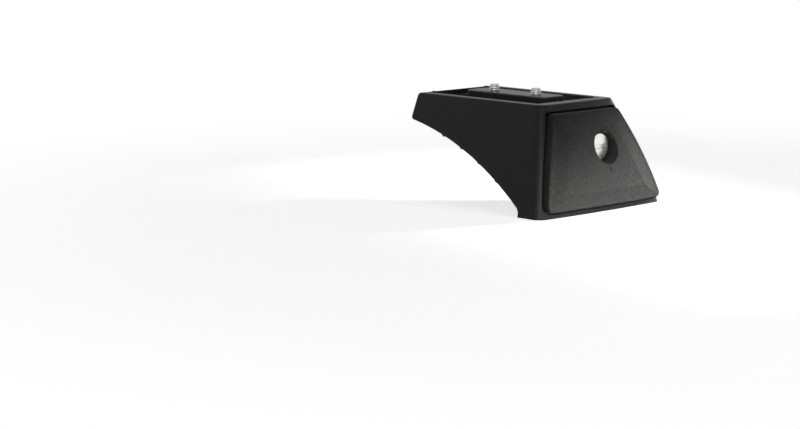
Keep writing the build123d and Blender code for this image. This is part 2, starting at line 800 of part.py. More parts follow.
# Clip that holds the housing against the cover's boss
with BuildPart() as lock_clip:
    with BuildSketch(lock_plane(clip_front_x)) as clip_shape:
        Rectangle(2 * clip_half_width, 2 * clip_half_height)
        fillet(clip_shape.vertices(), clip_corner)
        Circle(clip_groove_radius + running_clearance, mode=Mode.SUBTRACT)
        with Locations((0, clip_half_height)):
            clip_mouth = 2 * (clip_groove_radius + running_clearance)
            Rectangle(clip_mouth, 2 * clip_half_height, mode=Mode.SUBTRACT)
    extrude(amount=-clip_thickness)
lock_clip.part.label = "lock_clip"
export_step(lock_clip.part, "parts/lock_clip.step")

# Plug, with its key slot, shutter pocket, tumbler slots and spring pockets
wafer_fronts = [lock_face_x - wafer_first_depth - number * wafer_pitch for number in range(wafer_count)]
with BuildPart() as lock_plug:
    with BuildSketch(lock_plane(lock_face_x)):
        Circle(plug_head_radius)
    extrude(amount=-plug_head_thickness)
    with BuildSketch(lock_plane(lock_face_x)):
        Circle(plug_radius)
    extrude(amount=cam_front_x - lock_face_x)
    with BuildSketch(lock_plane(cam_front_x)):
        Rectangle(cam_square, cam_square)
    extrude(amount=-cam_thickness)
    with BuildSketch(lock_plane(cam_rear_x)):
        Circle(cam_screw_radius + running_clearance)
    extrude(amount=cam_screw_length, mode=Mode.SUBTRACT)
    with BuildSketch(lock_plane(lock_face_x)):
        Rectangle(keyway_width, keyway_height)
    extrude(amount=-keyway_depth, mode=Mode.SUBTRACT)
    with BuildSketch(lock_plane(lock_face_x)):
        Rectangle(slot_width, slot_height)
    extrude(amount=-slot_depth, mode=Mode.SUBTRACT)
    pocket_bottom_z = lock_z - slot_height / 2
    pocket_top_z = shutter_axis_z + shutter_barrel_radius + shutter_clearance
    pocket_rear_x = shutter_axis_x - shutter_swing - shutter_clearance
    with BuildSketch(lock_plane(lock_face_x - slot_depth)):
        with Locations((0, (pocket_bottom_z + pocket_top_z) / 2 - lock_z)):
            Rectangle(keyway_width + 2 * shutter_clearance, pocket_top_z - pocket_bottom_z)
    extrude(amount=pocket_rear_x - lock_face_x + slot_depth, mode=Mode.SUBTRACT)
    with BuildSketch(Plane(origin=(shutter_axis_x, lock_y, shutter_axis_z), z_dir=(0, 1, 0))):
        Circle(shutter_barrel_radius + running_clearance)
    extrude(amount=shutter_barrel_length / 2 + shutter_clearance, both=True, mode=Mode.SUBTRACT)
    with BuildSketch(lock_plane(lock_face_x)):
        with PolarLocations(plug_head_radius, 1, start_angle=index_notch_angle):
            Circle(index_notch_radius)
    extrude(amount=-index_notch_depth, mode=Mode.SUBTRACT)
    for front_x in wafer_fronts:
        with BuildSketch(lock_plane(front_x)):
            Rectangle(4 * plug_radius, wafer_height)
        extrude(amount=-wafer_thickness, mode=Mode.SUBTRACT)
        with BuildSketch(lock_plane(front_x - wafer_thickness)):
            with Locations((spring_pocket_y + spring_pocket_length / 2, spring_pocket_z)):
                Rectangle(spring_pocket_length, spring_pocket_width)
        extrude(amount=-spring_pocket_width, mode=Mode.SUBTRACT)
lock_plug.part.label = "lock_plug"
export_step(lock_plug.part, "parts/lock_plug.step")

# Tumblers, each with a lug for its spring
with BuildPart() as lock_wafers:
    for front_x in wafer_fronts:
        with BuildSketch(lock_plane(front_x)):
            Rectangle(wafer_length, wafer_height)
            Rectangle(wafer_window_width, wafer_window_height, mode=Mode.SUBTRACT)
        extrude(amount=-wafer_thickness)
        with BuildSketch(lock_plane(front_x - wafer_thickness)):
            with Locations((wafer_lug_y + wafer_lug / 2, spring_pocket_z)):
                Rectangle(wafer_lug, wafer_lug_height)
        extrude(amount=-wafer_lug_height)
lock_wafers.part.label = "lock_wafers"
export_step(lock_wafers.part, "parts/lock_wafers.step")

# Springs that push the tumblers out
with BuildPart() as wafer_springs:
    for front_x in wafer_fronts:
        spring_x = front_x - wafer_thickness - spring_pocket_width / 2
        with BuildLine() as coil:
            Helix(
                wafer_spring_pitch,
                wafer_spring_length,
                wafer_spring_radius,
                center=(spring_x, lock_y + wafer_spring_y, lock_z + spring_pocket_z),
                direction=(0, 1, 0),
            )
        with BuildSketch(Plane(origin=coil.line @ 0, z_dir=coil.line % 0)):
            RegularPolygon(wafer_spring_wire, spring_wire_sides)
        sweep()
wafer_springs.part.label = "wafer_springs"
export_step(wafer_springs.part, "parts/wafer_springs.step")

# Dust shutter in the key slot, hinged on its upper edge, with a waist in the hinge for its spring
hinge_end = (shutter_axis_x, lock_y - keyway_width / 2, shutter_axis_z)
with BuildPart() as keyway_shutter:
    with BuildSketch(lock_plane(shutter_front_x)):
        with Locations((0, (shutter_axis_z + shutter_tip_z) / 2 - lock_z)):
            Rectangle(keyway_width, shutter_axis_z - shutter_tip_z)
    extrude(amount=-shutter_thickness)
    with BuildSketch(Plane(origin=(shutter_axis_x, lock_y, shutter_axis_z), z_dir=(0, 1, 0))):
        Circle(shutter_barrel_radius)
    extrude(amount=shutter_barrel_length / 2, both=True)
    with BuildSketch(Plane(origin=hinge_end, z_dir=(0, 1, 0))):
        Circle(shutter_barrel_radius + running_clearance)
        Circle(shutter_pin_radius, mode=Mode.SUBTRACT)
    extrude(amount=shutter_spring_room, mode=Mode.SUBTRACT)
keyway_shutter.part.label = "keyway_shutter"
export_step(keyway_shutter.part, "parts/keyway_shutter.step")

# Spring wound round the shutter's hinge, with a leg down its back
coil_start = Vector(hinge_end) + Vector(0, shutter_spring_wire + running_clearance, 0)
with BuildPart() as shutter_spring:
    with BuildLine() as winding:
        turns = Helix(
            shutter_spring_pitch,
            shutter_spring_length,
            shutter_spring_radius,
            center=coil_start,
            direction=(0, 1, 0),
            lefthand=True,
        )
        Line(turns @ 1, turns @ 1 + (turns % 1) * shutter_spring_leg)
    with BuildSketch(Plane(origin=turns @ 0, z_dir=turns % 0)):
        RegularPolygon(shutter_spring_wire, spring_wire_sides)
    sweep()
shutter_spring.part.label = "shutter_spring"
export_step(shutter_spring.part, "parts/shutter_spring.step")

# Cam and its fastening
with BuildPart() as lock_cam:
    with BuildSketch(lock_plane(cam_front_x)) as cam_shape:
        with Locations((cam_reach / 2, 0)):
            Rectangle(cam_reach, cam_width)
        fillet(cam_shape.vertices().group_by(Axis.X)[-1], cam_tip_radius)
        Circle(cam_hub_radius)
        cam_hole = cam_square + 2 * cam_square_clearance
        Rectangle(cam_hole, cam_hole, mode=Mode.SUBTRACT)
    extrude(amount=-cam_thickness)
lock_cam.part.label = "lock_cam"
export_step(lock_cam.part, "parts/lock_cam.step")

with BuildPart() as cam_washer:
    with BuildSketch(lock_plane(cam_rear_x)):
        Circle(cam_washer_radius)
        Circle(cam_screw_radius + running_clearance, mode=Mode.SUBTRACT)
    extrude(amount=-cam_washer_thickness)
cam_washer.part.label = "cam_washer"
export_step(cam_washer.part, "parts/cam_washer.step")

cam_screw_seat_x = cam_rear_x - cam_washer_thickness
with BuildPart() as cam_screw:
    with BuildSketch(lock_plane(cam_screw_seat_x)):
        Circle(cam_screw_radius)
    extrude(amount=cam_screw_length)
    with BuildSketch(lock_plane(cam_screw_seat_x)):
        Circle(cam_screw_head_radius)
    extrude(amount=-cam_screw_head)
    chamfer(cam_screw.faces().sort_by(Axis.X)[0].edges(), plate_edge)
    with BuildSketch(lock_plane(cam_screw_seat_x - cam_screw_head)):
        RegularPolygon(cam_screw_socket / 2, 6, major_radius=False)
    extrude(amount=cam_screw_socket_depth, mode=Mode.SUBTRACT)
cam_screw.part.label = "cam_screw"
export_step(cam_screw.part, "parts/cam_screw.step")
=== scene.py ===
# %% [markdown]
# # A roof bar foot in the studio
#
# The foot holds up one end of a roof bar. Its solids come from CAD, already in metres and in place,
# with the moving bodies that a simulator knows. Blender's job here is what the solids can't show:
# the moulded grain of the leg, the speckle of the cover, bright metal in the lock, and real threads
# on the screws.
#
# The solids are loaded first, and nothing below moves them.

# %% Load the solids
from math import radians

import bpy
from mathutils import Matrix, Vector


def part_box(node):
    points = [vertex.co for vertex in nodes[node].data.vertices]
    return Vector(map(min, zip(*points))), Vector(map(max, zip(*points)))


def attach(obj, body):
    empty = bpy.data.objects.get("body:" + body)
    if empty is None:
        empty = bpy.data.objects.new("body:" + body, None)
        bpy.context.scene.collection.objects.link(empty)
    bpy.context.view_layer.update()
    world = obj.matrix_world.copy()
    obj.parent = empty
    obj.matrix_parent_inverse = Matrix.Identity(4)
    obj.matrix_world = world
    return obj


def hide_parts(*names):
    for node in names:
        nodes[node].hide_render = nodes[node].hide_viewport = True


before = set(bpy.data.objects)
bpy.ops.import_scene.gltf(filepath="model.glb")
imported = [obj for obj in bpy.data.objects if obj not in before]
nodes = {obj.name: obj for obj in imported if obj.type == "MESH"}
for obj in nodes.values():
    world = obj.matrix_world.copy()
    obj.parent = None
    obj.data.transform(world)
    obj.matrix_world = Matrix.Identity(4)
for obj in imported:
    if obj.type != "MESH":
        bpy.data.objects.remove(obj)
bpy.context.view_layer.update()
print("solids:", len(nodes))

# %% [markdown]
# # Nodes from Python
#
# Shader trees and geometry trees are both node trees, and both are long to write one link at a
# time. Two small classes take care of that. A `Signal` wraps one output socket, so that `1 - mask *
# 0.3` adds the Math nodes it needs. A `Graph` makes any other node from its type, its settings and
# what goes into its sockets.
#
# Drawing the trees by hand would show the same nodes, but a script keeps each number where it can
# be read.

# %% Signals and graphs
class Signal:
    """An output socket that takes part in sums. Each operator adds one Math node."""

    def __init__(self, graph, socket):
        self.graph = graph
        self.socket = socket

    def maths(self, operation, first, second):
        return self.graph.node("ShaderNodeMath", {"operation": operation}, {0: first, 1: second})

    def __add__(self, other):
        return self.maths("ADD", self, other)

    def __radd__(self, other):
        return self.maths("ADD", other, self)

    def __sub__(self, other):
        return self.maths("SUBTRACT", self, other)

    def __rsub__(self, other):
        return self.maths("SUBTRACT", other, self)

    def __mul__(self, other):
        return self.maths("MULTIPLY", self, other)

    def __truediv__(self, other):
        return self.maths("DIVIDE", self, other)

    def __neg__(self):
        return self.maths("MULTIPLY", self, -1.0)


class Graph:
    """A node tree that is written as Python."""

    def __init__(self, tree):
        self.tree = tree

    def feed(self, socket, value):
        for item in value if isinstance(value, list) else [value]:
            if isinstance(item, Signal):
                self.tree.links.new(item.socket, socket)
            else:
                socket.default_value = item

    def node(self, kind, settings=None, sockets=None, out=0):
        made = self.tree.nodes.new(kind)
        for name, value in (settings or {}).items():
            setattr(made, name, value)
        for name, value in (sockets or {}).items():
            self.feed(made.inputs[name], value)
        return Signal(self, made.outputs[out])


print("node helpers ready")

# %% [markdown]
# # What all the finishes share
#
# Each finish is one Principled shader. What varies over the surface is noise read in Object
# coordinates, which are the foot's own metres, so a grain of 0.3 mm is written as 0.0003 and stays
# on the piece when it moves.
#
# Handled edges are a little paler and smoother than the faces between them. The Bevel node rounds
# the normal near an edge, and where that rounded normal leaves the true one, there is an edge.
# Shade is painted into narrow places, where the Ambient Occlusion node meets another wall within a
# short reach. Neither needs a painted map.

# %% A finish
EDGE_SPAN = (0.02, 0.12)
PAINTED_SHADE_SPAN = (0.25, 0.85)


class Finish(Graph):
    """A material with one Principled shader. Fixed numbers go straight on the shader's sockets."""

    def __init__(self, name, fixed):
        self.material = bpy.data.materials.new(name)
        self.material.use_nodes = True
        super().__init__(self.material.node_tree)
        self.shader = self.tree.nodes["Principled BSDF"]
        for socket, value in fixed.items():
            self.shader.inputs[socket].default_value = value
        self.place = self.node("ShaderNodeTexCoord", out="Object")

    def grain(self, size, detail=2.0):
        sockets = {"Vector": self.place, "Scale": 1 / size, "Detail": detail}
        return self.node("ShaderNodeTexNoise", {}, sockets, out="Fac")

    def cells(self, size):
        sockets = {"Vector": self.place, "Scale": 1 / size}
        return self.node("ShaderNodeTexVoronoi", {}, sockets, out="Distance")

    def ramp(self, signal, low, high):
        sockets = {"Value": signal, "From Min": low, "From Max": high}
        return self.node("ShaderNodeMapRange", {"interpolation_type": "SMOOTHSTEP"}, sockets)

    def edges(self, radius):
        rounded = self.node("ShaderNodeBevel", {"samples": 6}, {"Radius": radius})
        true = self.node("ShaderNodeNewGeometry", out="Normal")
        product = {"operation": "DOT_PRODUCT"}
        cosine = self.node("ShaderNodeVectorMath", product, {0: rounded, 1: true}, out="Value")
        return self.ramp(1 - cosine, *EDGE_SPAN)

    # Painted shade: a mask that is strongest where the Ambient Occlusion node finds another wall within
    # reach.
    def painted_crevice_shade(self, reach):
        open_air = self.node("ShaderNodeAmbientOcclusion", {"samples": 8}, {"Distance": reach}, out="AO")
        return 1 - self.ramp(open_air, *PAINTED_SHADE_SPAN)

    def colours(self, mask, first, second):
        return self.node("ShaderNodeMix", {"data_type": "RGBA"}, {0: mask, 6: first, 7: second}, out=2)

    def colour(self, signal):
        self.feed(self.shader.inputs["Base Color"], signal)

    def roughness(self, signal):
        self.feed(self.shader.inputs["Roughness"], signal)

    def bump(self, height, depth):
        normal = self.node("ShaderNodeBump", {}, {"Height": height, "Distance": depth, "Strength": 1.0})
        self.feed(self.shader.inputs["Normal"], normal)

    def dress(self, *names):
        for name in names:
            for place in nodes[name].material_slots:
                place.material = self.material
        print(self.material.name, "on", ", ".join(names))


def grey(value, warmth=0.0):
    """A linear colour near grey: a little warmth lifts red and lowers blue."""
    return (value * (1 + warmth), value, value * (1 - warmth), 1.0)


print("finish helpers ready")

# %% [markdown]
# # The leg's moulded plastic
#
# The leg is injection moulded in black glass-filled nylon, from a tool with a fine satin texture.
# It shows no pattern at arm's length, only a soft sheen on the round corner, so the grain is fine
# and shallow. A slow mottling stands for the flow of the glass, and the edges are slightly paler
# where hands and tools have rubbed them.

# %% Leg finish
leg_plastic = Finish("moulded_black_leg", {"Specular IOR Level": 0.11})
flow = leg_plastic.grain(0.012, 3.0)
satin = leg_plastic.grain(0.0004, 2.0)
rubbed = leg_plastic.edges(0.0006)
base = leg_plastic.colours(flow, grey(0.022, 0.02), grey(0.030, 0.01))
leg_plastic.colour(leg_plastic.colours(rubbed * 0.3, base, grey(0.075, 0.01)))
leg_plastic.roughness(0.34 + satin * 0.12 + flow * 0.06 - rubbed * 0.04)
leg_plastic.bump(satin, 0.000035)
leg_plastic.dress("leg_body")

# %% [markdown]
# # The cover's speckled plastic
#
# The cover is the part that people see, so its tool has a coarser spark-eroded texture, which the
# light picks out as a charcoal speckle. Sparks leave round craters, so Voronoi cells give the
# bumps, with a finer grain between them. The speckle itself is a noise of one to two millimetres,
# which changes the colour.

# %% Cover finish
cover_plastic = Finish("speckled_charcoal_cover", {"Specular IOR Level": 0.06})
craters = cover_plastic.cells(0.0006)
pits = cover_plastic.grain(0.0004, 2.0)
speckle = cover_plastic.grain(0.0016, 3.0)
drift = cover_plastic.grain(0.02, 2.0)
cover_edge = cover_plastic.edges(0.0005)
shade = speckle * 0.7 + pits * 0.3 + (drift - 0.5) * 0.1 - craters * 0.12
base = cover_plastic.colours(cover_plastic.ramp(shade, 0.24, 0.64), grey(0.042, 0.02), grey(0.072, 0.03))
cover_plastic.colour(cover_plastic.colours(cover_edge * 0.12, base, grey(0.12, 0.02)))
cover_plastic.roughness(0.50 + speckle * 0.16)
cover_plastic.bump(pits * 0.5 - craters * 0.5, 0.0002)
cover_plastic.dress("outer_cover")

# %% [markdown]
# # Rubber in the saddle
#
# The pad that lines the saddle grips the bar, and it is plain black rubber: no shine, a dusty bloom
# in places and a fine tooth from the mould. The thin ring under the lock's head is the same rubber.

# %% Rubber finish
rubber = Finish("saddle_rubber", {"Specular IOR Level": 0.1})
tooth = rubber.grain(0.0003, 2.0)
bloom = rubber.ramp(rubber.grain(0.006, 4.0), 0.45, 0.75)
rubber.colour(rubber.colours(bloom * 0.5, grey(0.012), grey(0.030, 0.03)))
rubber.roughness(0.72 + bloom * 0.14)
rubber.bump(tooth, 0.00004)
rubber.dress("saddle_pad", "lock_seal")

# %% [markdown]
# # Steel, coated and plated
#
# The clamp plate has a black coating, which wears grey on its edges. The washers, sleeves, clip,
# cam and small springs are zinc plated: a pale grey metal whose crystals make it slightly cloudy. A
# cloudy metal is a change of roughness more than of colour.

# %% Steel finishes
coated_steel = Finish("black_coated_steel", {"Specular IOR Level": 0.2})
worn = coated_steel.edges(0.0007)
orange_peel = coated_steel.grain(0.0012, 2.0)
scuffs = coated_steel.ramp(coated_steel.grain(0.003, 6.0), 0.56, 0.70)
bare = worn * 0.6 + scuffs * 0.12
coated_steel.colour(coated_steel.colours(bare, grey(0.030), grey(0.30, 0.01)))
coated_steel.feed(coated_steel.shader.inputs["Metallic"], bare)
coated_steel.roughness(0.38 + orange_peel * 0.12)
coated_steel.bump(orange_peel, 0.00003)
coated_steel.dress("clamp_plate")

zinc_steel = Finish("zinc_plated_steel", {"Metallic": 1.0})
cloud = zinc_steel.grain(0.002, 4.0)
crystal = zinc_steel.cells(0.0009)
zinc_steel.colour(zinc_steel.colours(cloud, grey(0.46, 0.03), grey(0.62, 0.01)))
zinc_steel.roughness(0.24 + cloud * 0.14 + crystal * 0.10)
zinc_steel.bump(cloud, 0.00002)
zinc_steel.dress("flat_washers", "spring_washers", "base_sleeves", "lock_clip", "lock_cam", "cam_washer")
zinc_steel.dress("wafer_springs", "shutter_spring")

# %% [markdown]
# # Bright metal in the lock
#
# The lock's housing, plug and shutter are chromed zinc castings, the brightest thing on the foot.
# Chrome this small is never a perfect mirror: polishing leaves fine marks, and fingers leave a
# haze. Shade is painted into the key slot and the lock's other narrow hollows, and draws its dark
# lines. The tumblers inside are stamped brass.

# %% Lock finishes
lock_chrome = Finish("bright_lock_chrome", {"Metallic": 0.9})
haze = lock_chrome.grain(0.0025, 4.0)
polish = lock_chrome.grain(0.0002, 2.0)
# Painted shade: the key slot and the lock's narrow hollows are darkened to near black, as if in shadow.
painted_slot_shade = lock_chrome.painted_crevice_shade(0.0016)
base = lock_chrome.colours(haze, grey(0.95, 0.03), grey(0.98, 0.02))
lock_chrome.colour(lock_chrome.colours(painted_slot_shade, base, grey(0.03, 0.05)))
lock_chrome.roughness(0.24 + haze * 0.03 + polish * 0.02)
lock_chrome.bump(polish, 0.0000001)
lock_chrome.dress("lock_housing", "lock_plug", "keyway_shutter")

wafer_brass = Finish("stamped_brass", {"Metallic": 1.0})
tarnish = wafer_brass.grain(0.0015, 4.0)
wafer_brass.colour(wafer_brass.colours(tarnish, (0.50, 0.33, 0.11, 1.0), (0.74, 0.56, 0.27, 1.0)))
wafer_brass.roughness(0.26 + tarnish * 0.2)
wafer_brass.dress("lock_wafers")

# %% [markdown]
# # Screws by rule
#
# The solids carry their screws as plain pins, because a thread is a coupling to the simulator. Here
# they get the real shape. A socket screw follows a rule from a few sizes: a knurled head with a
# hexagon sunk in it, a core, and a ridge wound round the core. One Geometry Nodes tree holds the
# rule, with the sizes as its inputs, and makes the clamp screws and the small screw on the lock's
# cam.
#
# The ridge is a trapezium swept up a spiral. It fades at both ends, as a cut thread does. The
# knurls are one thin wedge, repeated round the head.

# %% Rule for a socket screw
SCREW_SIZES = {
    "Head Radius": 0.005,
    "Head Height": 0.006,
    "Socket Across": 0.005,
    "Socket Depth": 0.0032,
    "Shank Radius": 0.003,
    "Shank Length": 0.016,
    "Pitch": 0.001,
    "Knurls": 44,
    "Seat": (0.0, 0.0, 0.0),
    "Turn": (0.0, 0.0, 0.0),
}
SOCKET_KINDS = {float: "NodeSocketFloat", int: "NodeSocketInt", tuple: "NodeSocketVector"}


class Rule(Graph):
    """A Geometry Nodes tree with named sizes, which makes one plain mesh for each use."""

    def __init__(self, name, sizes):
        super().__init__(bpy.data.node_groups.new(name, "GeometryNodeTree"))
        face = self.tree.interface
        face.new_socket("Geometry", in_out="OUTPUT", socket_type="NodeSocketGeometry")
        face.new_socket("Geometry", in_out="INPUT", socket_type="NodeSocketGeometry")
        self.identifiers = {}
        for label, value in sizes.items():
            socket = face.new_socket(label, in_out="INPUT", socket_type=SOCKET_KINDS[type(value)])
            socket.default_value = value
            self.identifiers[label] = socket.identifier
        self.entry = self.tree.nodes.new("NodeGroupInput")

    def size(self, label):
        return Signal(self, self.entry.outputs[label])

    def point(self, x, y, z):
        return self.node("ShaderNodeCombineXYZ", {}, {"X": x, "Y": y, "Z": z})

    def lifted(self, geometry, height):
        shift = self.point(0.0, 0.0, height)
        return self.node("GeometryNodeTransform", {}, {"Geometry": geometry, "Translation": shift})

    def close(self, geometry, material):
        real = self.node("GeometryNodeRealizeInstances", {}, {"Geometry": geometry})
        done = self.node("GeometryNodeSetMaterial", {}, {"Geometry": real, "Material": material})
        exit_node = self.tree.nodes.new("NodeGroupOutput")
        self.feed(exit_node.inputs["Geometry"], done)

    def make(self, name, sizes):
        blank = bpy.data.objects.new(name + "_rule", bpy.data.meshes.new(name + "_rule"))
        bpy.context.scene.collection.objects.link(blank)
        modifier = blank.modifiers.new("rule", "NODES")
        modifier.node_group = self.tree
        for label, value in sizes.items():
            modifier[self.identifiers[label]] = value
        seen = blank.evaluated_get(bpy.context.evaluated_depsgraph_get())
        mesh = bpy.data.meshes.new_from_object(seen)
        mesh.name = name
        piece = bpy.data.objects.new(name, mesh)
        bpy.context.scene.collection.objects.link(piece)
        bpy.data.objects.remove(blank)
        print(name, "has", len(mesh.polygons), "faces")
        return piece


socket_screw = Rule("SocketScrew", SCREW_SIZES)
head_radius = socket_screw.size("Head Radius")
head_height = socket_screw.size("Head Height")
shank_radius = socket_screw.size("Shank Radius")
shank_length = socket_screw.size("Shank Length")
pitch = socket_screw.size("Pitch")
print("screw rule:", len(SCREW_SIZES), "sizes")

# %% [markdown]
# The head is a cylinder with a small chamfer round its open face, and the hexagon is cut out of it.
# The wedges of the knurl stand in a ring, and their outer corners reach the head's full radius.

# %% Head of the screw
HEAD_SIDES = 64
CHAMFER = 0.08
RIM_SHRINK = 0.88
HEXAGON_CORNER = 0.57735
KNURL_DEPTH = 0.00022

barrel = socket_screw.node(
    "GeometryNodeMeshCylinder",
    {"fill_type": "NGON"},
    {"Vertices": HEAD_SIDES, "Radius": head_radius - KNURL_DEPTH, "Depth": head_height * (1 - CHAMFER)},
)
lower_face = Signal(socket_screw, barrel.socket.node.outputs["Bottom"])
drawn = socket_screw.node(
    "GeometryNodeExtrudeMesh",
    {"mode": "FACES"},
    {"Mesh": barrel, "Selection": lower_face, "Offset Scale": head_height * CHAMFER, "Individual": False},
)
rim_face = Signal(socket_screw, drawn.socket.node.outputs["Top"])
narrowed = socket_screw.node("GeometryNodeScaleElements", {}, {0: drawn, 1: rim_face, 2: RIM_SHRINK})
head = socket_screw.lifted(narrowed, head_height * (CHAMFER - 1) * 0.5)
across = socket_screw.size("Socket Across")
hexagon = socket_screw.node(
    "GeometryNodeMeshCylinder",
    {"fill_type": "NGON"},
    {"Vertices": 6, "Radius": across * HEXAGON_CORNER, "Depth": socket_screw.size("Socket Depth") * 2},
)
sunk = socket_screw.lifted(hexagon, -head_height)
cut = {"Mesh 1": head, "Mesh 2": sunk}
head = socket_screw.node("GeometryNodeMeshBoolean", {"operation": "DIFFERENCE"}, cut)

ring = socket_screw.node(
    "GeometryNodeMeshCircle",
    {},
    {"Vertices": socket_screw.size("Knurls"), "Radius": head_radius - 2 * KNURL_DEPTH},
)
wedge = socket_screw.node(
    "GeometryNodeMeshCylinder",
    {"fill_type": "NGON"},
    {"Vertices": 3, "Radius": 2 * KNURL_DEPTH, "Depth": head_height * (1 - 2 * CHAMFER)},
)
outward = socket_screw.node(
    "FunctionNodeAlignRotationToVector",
    {"axis": "X"},
    {"Vector": socket_screw.node("GeometryNodeInputPosition")},
)
knurls = socket_screw.node(
    "GeometryNodeInstanceOnPoints",
    {},
    {"Points": ring, "Instance": wedge, "Rotation": outward},
)
knurls = socket_screw.lifted(knurls, head_height * -0.5)
print("screw head:", len(socket_screw.tree.nodes), "nodes")

# %% [markdown]
# The thread's core stops at the root of the ridge. The ridge's section is a trapezium: wide at the
# root, narrow at the crest, which points away from the axis. Its size along the spiral is a ramp
# up, a long level part and a ramp down. The ramps start from a small section, not from a point, so
# that both ends close. The widths and the plain ends of the core are counted in pitches.

# %% Thread of the screw
CORE_SIDES = 40
STEPS_PER_TURN = 28
THREAD_DEPTH = 0.55
ROOT_HALF = 0.46
CREST_HALF = 0.09
ROOT_OVERLAP = 0.02
PLAIN_END = 0.8
RAMP_PACE = 16.0
RAMP_START = 0.05

thread_depth = pitch * THREAD_DEPTH
core_radius = shank_radius - thread_depth
core = socket_screw.node(
    "GeometryNodeMeshCylinder",
    {"fill_type": "NGON"},
    {"Vertices": CORE_SIDES, "Radius": core_radius + pitch * ROOT_OVERLAP, "Depth": shank_length},
)
core = socket_screw.lifted(core, shank_length * 0.5)
threaded = shank_length - pitch * (2 * PLAIN_END)
spiral = socket_screw.node(
    "GeometryNodeCurveSpiral",
    {},
    {
        "Resolution": STEPS_PER_TURN,
        "Rotations": threaded / pitch,
        "Start Radius": core_radius,
        "End Radius": core_radius,
        "Height": threaded,
    },
)
upright = socket_screw.node("GeometryNodeSetCurveNormal", {"mode": "Z_UP"}, {"Curve": spiral})
section = socket_screw.node(
    "GeometryNodeCurvePrimitiveQuadrilateral",
    {"mode": "POINTS"},
    {
        "Point 1": socket_screw.point(0.0, pitch * ROOT_HALF, 0.0),
        "Point 2": socket_screw.point(-thread_depth, pitch * CREST_HALF, 0.0),
        "Point 3": socket_screw.point(-thread_depth, pitch * -CREST_HALF, 0.0),
        "Point 4": socket_screw.point(0.0, pitch * -ROOT_HALF, 0.0),
    },
)
along = socket_screw.node("GeometryNodeSplineParameter", out="Factor")
ramp_kind = {"operation": "MULTIPLY_ADD", "use_clamp": True}
rise = socket_screw.node("ShaderNodeMath", ramp_kind, {0: along, 1: RAMP_PACE, 2: RAMP_START})
fall = socket_screw.node("ShaderNodeMath", ramp_kind, {0: 1 - along, 1: RAMP_PACE, 2: RAMP_START})
ridge = socket_screw.node(
    "GeometryNodeCurveToMesh",
    {},
    {"Curve": upright, "Profile Curve": section, "Scale": rise * fall, "Fill Caps": True},
)
ridge = socket_screw.lifted(ridge, pitch * PLAIN_END)
joined = socket_screw.node("GeometryNodeJoinGeometry", {}, {"Geometry": [head, knurls, core, ridge]})
turned = socket_screw.node(
    "GeometryNodeTransform",
    {},
    {"Geometry": joined, "Translation": socket_screw.size("Seat"), "Rotation": socket_screw.size("Turn")},
)
socket_screw.close(turned, zinc_steel.material)
print("whole screw:", len(socket_screw.tree.nodes), "nodes")

# %% [markdown]
# Each screw takes its place from the box of the pin that it stands for. The clamp screws point up,
# with their heads below the deck, and each is a body of its own. The cam's screw points outboard
# along the lock and turns with the plug.

# %% Make the screws
CLAMP_SCREW_HEAD = SCREW_SIZES["Head Height"]
CAM_SCREW_HEAD = 0.0022

for end in ("inboard", "outboard"):
    low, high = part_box("clamp_screw_" + end)
    middle = (low + high) / 2
    screw = socket_screw.make(
        "threaded_clamp_screw_" + end,
        {
            "Shank Length": high.z - low.z - CLAMP_SCREW_HEAD,
            "Seat": (middle.x, middle.y, low.z + CLAMP_SCREW_HEAD),
        },
    )
    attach(screw, end + "_screw")
    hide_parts("clamp_screw_" + end)

low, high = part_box("cam_screw")
middle = (low + high) / 2
cam_fixing = socket_screw.make(
    "threaded_cam_screw",
    {
        "Head Radius": 0.0036,
        "Head Height": CAM_SCREW_HEAD,
        "Socket Across": 0.0025,
        "Socket Depth": 0.0014,
        "Shank Radius": 0.002,
        "Shank Length": high.x - low.x - CAM_SCREW_HEAD,
        "Pitch": 0.0007,
        "Knurls": 36,
        "Seat": (low.x + CAM_SCREW_HEAD, middle.y, middle.z),
        "Turn": (0.0, radians(90), 0.0),
    },
)
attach(cam_fixing, "lock_core")
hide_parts("cam_screw")

# %% [markdown]
# # Floor and background
#
# The foot stands on a pale floor with white all round. The white belongs to the background alone:
# Light Path tells a ray that goes straight to the camera, or by way of a mirror or glass, from the
# rays that light the object, so that the lamps stay at a plain level. Near the foot a veil of white
# lies over the lit floor and leaves its shadow in sight. Farther off the floor fades into the
# white.

# %% Floor
FLOOR_HALF = 4.0
VEIL = 0.74
FADE = (0.12, 0.5)
CAMERA_WAYS = ("Is Camera Ray", "Is Glossy Ray", "Is Transmission Ray")


def background_rays(graph):
    path = graph.tree.nodes.new("ShaderNodeLightPath")
    direct, mirrored, through = [Signal(graph, path.outputs[label]) for label in CAMERA_WAYS]
    clamped_sum = {"operation": "ADD", "use_clamp": True}
    return graph.node("ShaderNodeMath", clamped_sum, {0: direct + mirrored, 1: through})


floor_paint = Finish("pale_floor", {"Roughness": 0.9, "Specular IOR Level": 0.1})
dust = floor_paint.grain(0.05, 3.0)
floor_paint.colour(floor_paint.colours(dust, grey(0.86), grey(0.88)))
lit = Signal(floor_paint, floor_paint.shader.outputs["BSDF"])
veil = floor_paint.node("ShaderNodeEmission", {}, {"Color": grey(1.0), "Strength": VEIL})
glow = floor_paint.node("ShaderNodeEmission", {}, {"Color": grey(1.0), "Strength": 1.0})
near = floor_paint.node("ShaderNodeAddShader", {}, {0: lit, 1: veil})
length = {"operation": "LENGTH"}
distance = floor_paint.node("ShaderNodeVectorMath", length, {0: floor_paint.place}, out="Value")
far = floor_paint.ramp(distance, *FADE)
faded = floor_paint.node("ShaderNodeMixShader", {}, {0: far, 1: near, 2: glow})
mixed = floor_paint.node("ShaderNodeMixShader", {}, {0: background_rays(floor_paint), 1: lit, 2: faded})
floor_paint.feed(floor_paint.tree.nodes["Material Output"].inputs["Surface"], mixed)

